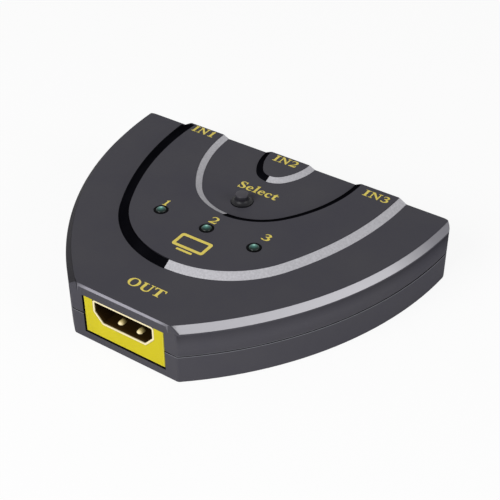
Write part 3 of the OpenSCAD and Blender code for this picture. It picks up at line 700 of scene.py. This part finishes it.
rowTree, given = startTree("contactRow", ("Pitch", "Start"), ("Count",))
step = addNode(rowTree, "ShaderNodeCombineXYZ", {"X": given["Pitch"]})
start = addNode(rowTree, "ShaderNodeCombineXYZ", {"X": given["Start"]})
rowPoints = addNode(rowTree, "GeometryNodeMeshLine",
                    {"Count": given["Count"], "Start Location": start.outputs[0], "Offset": step.outputs[0]},
                    mode="OFFSET", count_mode="TOTAL")
rowOf = addNode(rowTree, "GeometryNodeInstanceOnPoints",
                {"Points": rowPoints.outputs[0], "Instance": given["Geometry"]})
endTree(rowTree, rowOf.outputs[0], given)


def contactMesh(low):  # one bent contact, its tail down to the board, in the socket's frame
    thick, tip, tail, footEnd = (sockets[k] for k in ("contactThick", "tipBack", "tailBack", "footBack"))
    board = sockets["boardTop"]
    line = rounded([(tip, low, 0), (tip, low + thick, 0), (tail, low + thick, sockets["contactBend"]),
                    (tail, board + thick, 0), (footEnd, board + thick, 0), (footEnd, board, 0),
                    (tail - thick, board, 0), (tail - thick, low, 0)], True, 3)
    bm = bmesh.new()
    half = sockets["contactWidth"] / 2
    ring = [bm.verts.new((-half * mm, p.x * mm, p.y * mm)) for p in line]
    face = bm.faces.new(ring)
    grown = bmesh.ops.extrude_face_region(bm, geom=[face])
    moved = [v for v in grown["geom"] if isinstance(v, bmesh.types.BMVert)]
    bmesh.ops.translate(bm, verts=moved, vec=(2 * half * mm, 0, 0))
    bmesh.ops.recalc_face_normals(bm, faces=bm.faces)
    return meshFrom(bm, "contact")


def joinedMesh(name, meshes, place):  # several meshes as one, moved to their place
    bm = bmesh.new()
    for mesh in meshes:
        bm.from_mesh(mesh)
    bmesh.ops.transform(bm, matrix=place, verts=bm.verts)
    return meshFrom(bm, name)


def upperCorner(place, low, high):  # a lengthwise upper edge of the shell between two half widths
    def test(p, normals):
        spot = place.inverted() @ (p * mm) / mm
        along = all(abs(n.y) < sockets["cornerTurn"] for n in normals)
        return spot.z > sockets["cornerLow"] and low < abs(spot.x) < high and along
    return test


def mouthEdge(p, normals):
    return any(abs(n.y) > square for n in normals) and (
        p.y < outMouth + loose or p.y > case["backY"] - loose)


def shellMesh(key, place):  # the springs in the shell's floor get their own finish
    rules = [(width, upperCorner(place, low, high), -1) for width, low, high in sockets["corners"]]
    mesh = evenShading(softenedCopy(key + "_socket_shell", rules + [(sockets["edge"], mouthEdge, -1)]))
    back = place.inverted()
    first, last = sockets["springDepth"]
    for face in mesh.polygons:
        spot = back @ face.center / mm
        face.material_index = int(abs(spot.x) < sockets["springReach"] and first < spot.y < last
                                  and sockets["floor"] + near / 2 < spot.z < 0)
    return mesh


upperLow = sockets["tongueRise"] + sockets["tongueThick"] / 2 - sockets["contactThick"]
lowerLow = sockets["tongueRise"] - sockets["tongueThick"] / 2
for key, place in socketPlaces.items():
    rows = []
    for low, count in ((upperLow, sockets["upperCount"]), (lowerLow, sockets["upperCount"] - 1)):
        rows.append(grownMesh(contactMesh(low), rowTree, {
            "Pitch": sockets["contactPitch"] * mm, "Start": -(count - 1) / 2 * sockets["contactPitch"] * mm,
            "Count": count, "Finish": contactPaintedShade}))
    contacts = evenShading(joinedMesh(key + "Contacts", rows, place))
    newPiece(key + "Contacts", contacts, [contactPaintedShade], "case", [key + "_socket_contacts"])
    newPiece(key + "Shell", shellMesh(key, place), [shellGoldPaintedLight, springPaintedLight], "case",
             [key + "_socket_shell"])
print("sockets filled")

# Select button, turned with a flared foot
button = {"foot": 4.6, "neck": 2.8, "flange": 6.4, "flangeTop": 11.85, "skirt": 0.2, "neckRise": 1.1,
          "capEdge": 0.3, "flangeEdge": 0.1, "flareSteps": 8}
low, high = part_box("select_button")[0].z / mm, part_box("select_button")[1].z / mm
foot, neck = button["foot"] / 2, button["neck"] / 2
flareLow, flareHigh = case["fieldTop"] + button["skirt"], case["fieldTop"] + button["neckRise"]
flare = []
for k in range(button["flareSteps"] + 1):  # hollow quarter round from the skirt to the neck
    angle = math.pi / 2 * k / button["flareSteps"]
    flare.append((foot - (foot - neck) * math.sin(angle),
                  flareHigh - (flareHigh - flareLow) * math.cos(angle), 0))
line = rounded([
    (0, low, 0), (button["flange"] / 2, low, button["flangeEdge"]),
    (button["flange"] / 2, button["flangeTop"], button["flangeEdge"]), (foot, button["flangeTop"], 0)
] + flare + [(neck, high, button["capEdge"]), (0, high, 0)], False)
mesh = evenShading(turnedMesh("selectButton", line, buttonPlace, False), sharpAngle=60)
newPiece("selectButton", mesh, [buttonPaintedShade], "button", ["select_button"])

# Lamps and their rings
lamps = {"lens": 2.2, "foot": 3.0, "footThick": 0.8, "footEdge": 0.1, "capSteps": 10, "turns": 48,
         "ring": 3.1, "ringHole": 2.26, "ringDeep": 1.4, "ringEdge": 0.12, "holeEdge": 0.06,
         "highlightShift": (-0.14, 0.21)}  # the painted highlight's centre sits a little off the lens's axis
for i in (1, 2, 3):
    low, high = (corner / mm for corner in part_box("lamp_%d" % i))
    spot = (low + high) / 2
    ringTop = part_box("lamp_bezel_%d" % i)[1].z / mm
    lens = lamps["lens"] / 2
    rise = high.z - ringTop
    ball = (lens ** 2 + rise ** 2) / (2 * rise)
    sweep = math.asin(lens / ball)
    angles = [sweep * k / lamps["capSteps"] for k in range(lamps["capSteps"], -1, -1)]
    cap = [(ball * math.sin(angle), high.z - ball + ball * math.cos(angle), 0) for angle in angles]
    line = rounded([(0, low.z, 0), (lamps["foot"] / 2, low.z, lamps["footEdge"]),
                    (lamps["foot"] / 2, low.z + lamps["footThick"], lamps["footEdge"]),
                    (lens, low.z + lamps["footThick"], 0)] + cap, False)
    mesh = evenShading(turnedMesh("lamp", line, spot, False, lamps["turns"]), sharpAngle=50)
    # glow places the lens's painted highlight and painted shade; the lamp gives no light
    glow = mesh.attributes.new("glow", "FLOAT", "POINT")
    for vertex, value in zip(mesh.vertices, glow.data):  # distance in plan from the painted highlight's centre, m
        value.value = math.hypot(vertex.co.x - (spot.x + lamps["highlightShift"][0]) * mm,
                                 vertex.co.y - (spot.y + lamps["highlightShift"][1]) * mm)
    newPiece("lamp%d" % i, mesh, [lampPaintedLight], "case", ["lamp_%d" % i])
    ring, hole, bottom = lamps["ring"] / 2, lamps["ringHole"] / 2, ringTop - lamps["ringDeep"]
    line = rounded([(hole, bottom, 0), (ring, bottom, 0), (ring, ringTop, lamps["ringEdge"]),
                    (hole, ringTop, lamps["holeEdge"])], True)
    mesh = evenShading(turnedMesh("ring", line, spot, True, lamps["turns"]), sharpAngle=50)
    newPiece("lampRing%d" % i, mesh, [ringNylon], "case", ["lamp_bezel_%d" % i])
print("button and lamps turned")

# Screws: one turned blank, its cross cut and its four places made in a tree
screws = {"head": 3.8, "headThick": 1.3, "headEdge": 0.35, "shank": 2.0, "tipEdge": 0.25, "turns": 40,
          "slotWide": 0.6, "slotLong": 2.6, "slotDeep": 0.7,
          "rearX": 11.5, "rearY": 20.5, "frontX": 14.5, "frontY": -11.0}
screwTree, given = startTree("screwsInWells", ("Slot Width", "Slot Length", "Slot Depth", "Face Height",
                                               "Rear X", "Rear Y", "Front X", "Front Y"))
double = addNode(screwTree, "ShaderNodeMath", {0: given["Slot Depth"], 1: 2.0}, operation="MULTIPLY")
lift = addNode(screwTree, "ShaderNodeCombineXYZ", {"Z": given["Face Height"]})
bars = []
for across, along in (("Slot Length", "Slot Width"), ("Slot Width", "Slot Length")):
    size = addNode(screwTree, "ShaderNodeCombineXYZ",
                   {"X": given[across], "Y": given[along], "Z": double.outputs[0]})
    bar = addNode(screwTree, "GeometryNodeMeshCube", {"Size": size.outputs[0]})
    bars.append(addNode(screwTree, "GeometryNodeTransform",
                        {"Geometry": bar.outputs[0], "Translation": lift.outputs[0]}).outputs[0])
firstCut = addNode(screwTree, "GeometryNodeMeshBoolean",
                   {"Mesh 1": given["Geometry"], "Mesh 2": bars[0]}, operation="DIFFERENCE")
cross = addNode(screwTree, "GeometryNodeMeshBoolean",
                {"Mesh 1": firstCut.outputs[0], "Mesh 2": bars[1]}, operation="DIFFERENCE")
wells = addNode(screwTree, "GeometryNodeJoinGeometry")
for end in ("Rear", "Front"):
    away = addNode(screwTree, "ShaderNodeMath", {0: given[end + " X"], 1: -1.0}, operation="MULTIPLY")
    across = addNode(screwTree, "ShaderNodeMath", {0: given[end + " X"], 1: 2.0}, operation="MULTIPLY")
    start = addNode(screwTree, "ShaderNodeCombineXYZ", {"X": away.outputs[0], "Y": given[end + " Y"]})
    step = addNode(screwTree, "ShaderNodeCombineXYZ", {"X": across.outputs[0]})
    pair = addNode(screwTree, "GeometryNodeMeshLine",
                   {"Count": 2, "Start Location": start.outputs[0], "Offset": step.outputs[0]},
                   mode="OFFSET", count_mode="TOTAL")
    screwTree.links.new(pair.outputs[0], wells.inputs[0])
placed = addNode(screwTree, "GeometryNodeInstanceOnPoints",
                 {"Points": wells.outputs[0], "Instance": cross.outputs[0]})
endTree(screwTree, placed.outputs[0], given)

low, high = (corner.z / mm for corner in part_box("case_screws"))
line = rounded([(0, low, 0), (screws["head"] / 2, low, screws["headEdge"]),
                (screws["head"] / 2, low + screws["headThick"], 0),
                (screws["shank"] / 2, low + screws["headThick"], 0),
                (screws["shank"] / 2, high, screws["tipEdge"]), (0, high, 0)], False)
mesh = grownMesh(turnedMesh("screw", line, (0, 0), False, screws["turns"]), screwTree, {
    "Slot Width": screws["slotWide"] * mm, "Slot Length": screws["slotLong"] * mm,
    "Slot Depth": screws["slotDeep"] * mm, "Face Height": low * mm,
    "Rear X": screws["rearX"] * mm, "Rear Y": screws["rearY"] * mm,
    "Front X": screws["frontX"] * mm, "Front Y": screws["frontY"] * mm, "Finish": screwZinc})
newPiece("caseScrews", evenShading(mesh), [screwZinc], "case", ["case_screws"])
print("screws driven")

# Printed marks: thin gold film on the surface below each
marks = {
    "film": 0.03,  # thickness that stands on the surface, mm
    "sunk": 0.01,
    "smooth": 5,  # steps between two points of a letter
    "words": [  # words, centre x and y, width, letter height, surface
        ("markOut", "OUT", 0.9, -22.9, 8.6, 2.4, "rimTop"),
        ("markIn1", "IN1", -22.4, 28.0, 5.8, 2.3, "archTop"),
        ("markIn2", "IN2", -0.1, 27.9, 5.9, 2.3, "archTop"),
        ("markIn3", "IN3", 23.0, 27.1, 5.9, 2.3, "archTop"),
        ("markSelect", "Select", 0.7, 16.0, 9.7, 2.6, "fieldTop"),
        ("markOne", "1", -12.1, 0.55, 1.05, 2.0, "archTop"),
        ("markTwo", "2", -0.2, 1.0, 1.8, 2.2, "archTop"),
        ("markThree", "3", 11.9, 2.1, 1.8, 2.2, "archTop"),
    ],
}


def printedMesh(curve, place, width, height, surface):
    # a filled curve made a mesh, then sized and laid on its surface
    curve.dimensions = "2D"
    curve.fill_mode = "BOTH"
    curve.resolution_u = marks["smooth"]
    curve.extrude = 1
    mesh = plainMesh(bpy.data.objects.new("markHelper", curve))
    bm = bmesh.new()
    bm.from_mesh(mesh)
    bmesh.ops.remove_doubles(bm, verts=bm.verts, dist=1e-5)
    low = Vector([min(v.co[i] for v in bm.verts) for i in range(3)])
    high = Vector([max(v.co[i] for v in bm.verts) for i in range(3)])
    size, middle = high - low, (low + high) / 2
    deep = marks["film"] + marks["sunk"]
    for v in bm.verts:
        part = [(v.co[i] - middle[i]) / size[i] for i in range(3)]
        v.co = Vector((place[0] + part[0] * width, place[1] + part[1] * height,
                       case[surface] - marks["sunk"] + (part[2] + 0.5) * deep)) * mm
    bmesh.ops.recalc_face_normals(bm, faces=bm.faces)
    bm.to_mesh(mesh)
    bm.free()
    return mesh


# serif letters one unit tall: width with its space, then loops of points; a third value rounds the point
glyphs = {
    "O": (0.92, [[(0, 0.5, 1), (0.42, 1.02, 1), (0.84, 0.5, 1), (0.42, -0.02, 1)],
                 [(0.19, 0.5, 1), (0.42, 0.93, 1), (0.65, 0.5, 1), (0.42, 0.07, 1)]]),
    "U": (0.92, [[(0, 1), (0.39, 1), (0.39, 0.93), (0.29, 0.93), (0.29, 0.38), (0.32, 0.2, 1),
                  (0.47, 0.1, 1), (0.62, 0.2, 1), (0.65, 0.38), (0.65, 0.93), (0.55, 0.93), (0.55, 1),
                  (0.84, 1), (0.84, 0.93), (0.74, 0.93), (0.74, 0.36), (0.69, 0.12, 1), (0.42, -0.02, 1),
                  (0.15, 0.12, 1), (0.1, 0.36), (0.1, 0.93), (0, 0.93)]]),
    "T": (0.84, [[(0, 1), (0.78, 1), (0.8, 0.72), (0.74, 0.72), (0.66, 0.92), (0.485, 0.92), (0.485, 0.07),
                  (0.59, 0.07), (0.59, 0), (0.19, 0), (0.19, 0.07), (0.295, 0.07), (0.295, 0.92),
                  (0.12, 0.92), (0.04, 0.72), (-0.02, 0.72)]]),
    "I": (0.5, [[(0, 1), (0.4, 1), (0.4, 0.93), (0.295, 0.93), (0.295, 0.07), (0.4, 0.07), (0.4, 0), (0, 0),
                 (0, 0.07), (0.105, 0.07), (0.105, 0.93), (0, 0.93)]]),
    "N": (0.98, [[(0, 1), (0.26, 1), (0.68, 0.33), (0.68, 0.93), (0.56, 0.93), (0.56, 1), (0.88, 1),
                  (0.88, 0.93), (0.77, 0.93), (0.77, 0), (0.69, 0), (0.2, 0.77), (0.2, 0.07), (0.31, 0.07),
                  (0.31, 0), (0, 0), (0, 0.07), (0.11, 0.07), (0.11, 0.93), (0, 0.93)]]),
    "1": (0.62, [[(0.06, 0.8), (0.22, 0.87), (0.34, 1), (0.41, 1), (0.41, 0.07), (0.54, 0.07), (0.54, 0),
                  (0.06, 0), (0.06, 0.07), (0.21, 0.07), (0.21, 0.8)]]),
    "2": (0.7, [[(0, 0), (0, 0.07), (0.2, 0.27, 1), (0.36, 0.47, 1), (0.4, 0.7, 1), (0.34, 0.87, 1),
                 (0.23, 0.92, 1), (0.13, 0.87, 1), (0.06, 0.74), (0.01, 0.74), (0.07, 0.92, 1),
                 (0.28, 1.02, 1), (0.5, 0.94, 1), (0.58, 0.74, 1), (0.51, 0.52, 1), (0.36, 0.33, 1),
                 (0.19, 0.16), (0.46, 0.16), (0.53, 0.19, 1), (0.57, 0.29), (0.62, 0.29), (0.57, 0)]]),
    "3": (0.66, [[(0.05, 0.76), (0.12, 0.94, 1), (0.29, 1.02, 1), (0.46, 0.95, 1), (0.52, 0.79, 1),
                  (0.46, 0.64, 1), (0.36, 0.56), (0.5, 0.48, 1), (0.57, 0.3, 1), (0.49, 0.08, 1),
                  (0.25, -0.02, 1), (0.06, 0.02, 1), (0, 0.1, 1), (0.05, 0.16, 1), (0.13, 0.13, 1),
                  (0.24, 0.06, 1), (0.36, 0.13, 1), (0.4, 0.29, 1), (0.34, 0.43, 1), (0.17, 0.5),
                  (0.17, 0.55), (0.31, 0.64, 1), (0.35, 0.76, 1), (0.3, 0.89, 1), (0.22, 0.91, 1),
                  (0.14, 0.86, 1), (0.09, 0.75)]]),
    "S": (0.68, [[(0.52, 1.02), (0.52, 0.7), (0.47, 0.7), (0.4, 0.88, 1), (0.28, 0.94, 1), (0.17, 0.89, 1),
                  (0.16, 0.79, 1), (0.24, 0.68, 1), (0.44, 0.53, 1), (0.57, 0.4, 1), (0.6, 0.26, 1),
                  (0.51, 0.06, 1), (0.3, -0.02, 1), (0.14, 0.02, 1), (0.09, -0.02), (0.04, -0.02),
                  (0.04, 0.32), (0.09, 0.32), (0.16, 0.13, 1), (0.3, 0.06, 1), (0.41, 0.11, 1),
                  (0.43, 0.22, 1), (0.36, 0.34, 1), (0.17, 0.47, 1), (0.05, 0.6, 1), (0.01, 0.75, 1),
                  (0.1, 0.94, 1), (0.28, 1.02, 1), (0.42, 0.98, 1), (0.47, 1.02)]]),
    "e": (0.6, [[(0.5, 0.14), (0.44, 0.04, 1), (0.28, -0.02, 1), (0.07, 0.08, 1), (0, 0.32, 1),
                 (0.08, 0.57, 1), (0.28, 0.68, 1), (0.46, 0.59, 1), (0.52, 0.4), (0.52, 0.35), (0.16, 0.35),
                 (0.2, 0.18, 1), (0.33, 0.1, 1), (0.43, 0.13, 1), (0.47, 0.18)],
                [(0.165, 0.42), (0.2, 0.56, 1), (0.27, 0.61, 1), (0.33, 0.56, 1), (0.35, 0.42)]]),
    "l": (0.42, [[(0, 1.02), (0.28, 1.08), (0.28, 0.07), (0.36, 0.07), (0.36, 0), (0, 0), (0, 0.07),
                  (0.1, 0.07), (0.1, 0.97), (0, 0.96)]]),
    "c": (0.56, [[(0.49, 0.16), (0.41, 0.04, 1), (0.27, -0.02, 1), (0.07, 0.08, 1), (0, 0.32, 1),
                  (0.08, 0.57, 1), (0.29, 0.68, 1), (0.43, 0.64, 1), (0.49, 0.54, 1), (0.44, 0.47, 1),
                  (0.36, 0.5, 1), (0.34, 0.58, 1), (0.27, 0.61, 1), (0.19, 0.53, 1), (0.16, 0.35, 1),
                  (0.21, 0.17, 1), (0.32, 0.1, 1), (0.41, 0.13, 1), (0.455, 0.19)]]),
    "t": (0.46, [[(0, 0.6), (0.12, 0.7), (0.24, 0.88), (0.29, 0.88), (0.29, 0.67), (0.44, 0.67),
                  (0.44, 0.59), (0.29, 0.59), (0.29, 0.2), (0.31, 0.11, 1), (0.37, 0.1, 1), (0.44, 0.13),
                  (0.46, 0.08), (0.38, 0, 1), (0.27, -0.02, 1), (0.15, 0.02, 1), (0.11, 0.16), (0.11, 0.59),
                  (0, 0.59)]]),
}


def addLoop(curve, loop, shift=0):  # a closed outline; points with a third value are smooth
    spline = curve.splines.new("BEZIER")
    spline.bezier_points.add(len(loop) - 1)
    for point, spot in zip(spline.bezier_points, loop):
        point.co = (spot[0] + shift, spot[1], 0)
        point.handle_left_type = point.handle_right_type = "AUTO" if len(spot) > 2 else "VECTOR"
    spline.use_cyclic_u = True


for name, words, x, y, width, height, surface in marks["words"]:
    letters = bpy.data.curves.new(name, "CURVE")
    pen = 0
    for letter in words:
        advance, loops = glyphs[letter]
        for loop in loops:
            addLoop(letters, loop, pen)
        pen += advance
    newPiece(name, printedMesh(letters, (x, y), width, height, surface), [goldInk], "case")

sign = {"x": 0.8, "y": -8.5, "width": 7.6, "height": 5.2,  # a plain screen on a stand, mm
        "boxes": [(3.8, 0, 4.2, 0.6), (3.1, 0.7, 3.5, 0.2), (1.9, -1.0, -0.45, 0.2)]}
screen = bpy.data.curves.new("markScreen", "CURVE")
for half, bottom, top, radius in sign["boxes"]:  # frame, its opening, and the stand
    addLoop(screen, rounded([(-half, bottom, radius), (half, bottom, radius), (half, top, radius),
                             (-half, top, radius)], True))
newPiece("markScreen", printedMesh(screen, (sign["x"], sign["y"]), sign["width"], sign["height"], "archTop"),
         [goldInk], "case")
print("marks printed")

# Inner parts keep their CAD shapes and get their finishes
innerFinishes = {
    "circuit_board": boardResist, "switch_chip": chipEpoxy, "switch_plunger": buttonPaintedShade,
    "switch_body": insulatorLcp, "switch_cover": switchSteel,
    "switch_terminals": tinnedWire, "lamp_legs": tinnedWire,
}
for key in socketPlaces:
    innerFinishes[key + "_socket_insulator"] = insulatorLcp
for node, finish in innerFinishes.items():
    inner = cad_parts[node].data
    inner.materials.clear()
    inner.materials.append(finish)

# Snap dome
low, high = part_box("switch_dome")
domePiece = newPiece("switchDome", evenShading(softenedCopy("switch_dome", [])), [switchSteel], "case",
                     ["switch_dome"])
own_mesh(domePiece)
print("inner parts finished")

# Stage: pale floor, soft lamps, camera
stage = {
    "floorSize": 4.0,  # m
    "floorTone": "#f4f4f4",
    "floorLift": 0.9,  # share of plain white in what the camera sees of the floor
    "ambient": 0.26,
    "lamps": [  # name, place, size and power in m and W
        ("frontLamp", (-0.12, -0.55, 0.34), 0.5, 4.25),
        ("sideLamp", (0.65, 0.02, 0.22), 0.5, 2.1),
    ],
    "cameraPlace": (0.11145, -0.1508, 0.149956),
    "cameraTurn": (52.77, 0, 34.137),
    "lens": 81.743,  # mm, on the sensor's width
    "sensor": 36,
}
floorMesh = bpy.data.meshes.new("floor")
half = stage["floorSize"] / 2
floorMesh.from_pydata([(-half, -half, 0), (half, -half, 0), (half, half, 0), (-half, half, 0)], [],
                      [(0, 1, 2, 3)])
floor = bpy.data.objects.new("floor", floorMesh)
scene.collection.objects.link(floor)
paper = bpy.data.materials.new("paperFloor")  # matt white paper, lifted to white for the camera
paper.use_nodes = True
tree = paper.node_tree
tree.nodes.clear()
rays = addNode(tree, "ShaderNodeLightPath")
matt = addNode(tree, "ShaderNodeBsdfDiffuse", {"Color": linearColour(stage["floorTone"])})
glow = addNode(tree, "ShaderNodeEmission", {"Color": linearColour("#ffffff"), "Strength": 1.0})
share = addNode(tree, "ShaderNodeMath", {0: rays.outputs["Is Camera Ray"], 1: stage["floorLift"]},
                operation="MULTIPLY")
both = addNode(tree, "ShaderNodeMixShader", {0: share.outputs[0], 1: matt.outputs[0], 2: glow.outputs[0]})
addNode(tree, "ShaderNodeOutputMaterial", {"Surface": both.outputs[0]})
floorMesh.materials.append(paper)

world = bpy.data.worlds.new("studio")
scene.world = world
world.use_nodes = True
tree = world.node_tree
tree.nodes.clear()
rays = addNode(tree, "ShaderNodeLightPath")
seen = addNode(tree, "ShaderNodeMath",
               {0: rays.outputs["Is Camera Ray"], 1: rays.outputs["Is Glossy Ray"]}, operation="MAXIMUM")
shown = addNode(tree, "ShaderNodeMath",
                {0: seen.outputs[0], 1: rays.outputs["Is Transmission Ray"]}, operation="MAXIMUM")
soft = addNode(tree, "ShaderNodeBackground", {"Color": linearColour("#ffffff"), "Strength": stage["ambient"]})
white = addNode(tree, "ShaderNodeBackground", {"Color": linearColour("#ffffff"), "Strength": 1.0})
both = addNode(tree, "ShaderNodeMixShader", {0: shown.outputs[0], 1: soft.outputs[0], 2: white.outputs[0]})
addNode(tree, "ShaderNodeOutputWorld", {"Surface": both.outputs[0]})

middle = (cadBox[0] + cadBox[1]) / 2
for name, place, size, power in stage["lamps"]:
    light = bpy.data.lights.new(name, "AREA")
    light.shape = "DISK"
    light.size = size
    light.energy = power
    lamp = bpy.data.objects.new(name, light)
    lamp.location = place
    lamp.rotation_mode = "QUATERNION"
    lamp.rotation_quaternion = (middle - Vector(place)).to_track_quat("-Z", "Y")
    scene.collection.objects.link(lamp)

lens = bpy.data.cameras.new("photoCamera")
lens.sensor_width = stage["sensor"]
lens.lens = stage["lens"]
lens.clip_start = 0.01
camera = bpy.data.objects.new("photoCamera", lens)
camera.location = stage["cameraPlace"]
camera.rotation_euler = [math.radians(a) for a in stage["cameraTurn"]]
scene.collection.objects.link(camera)
scene.camera = camera
scene.view_settings.view_transform = "Standard"
print("stage set")
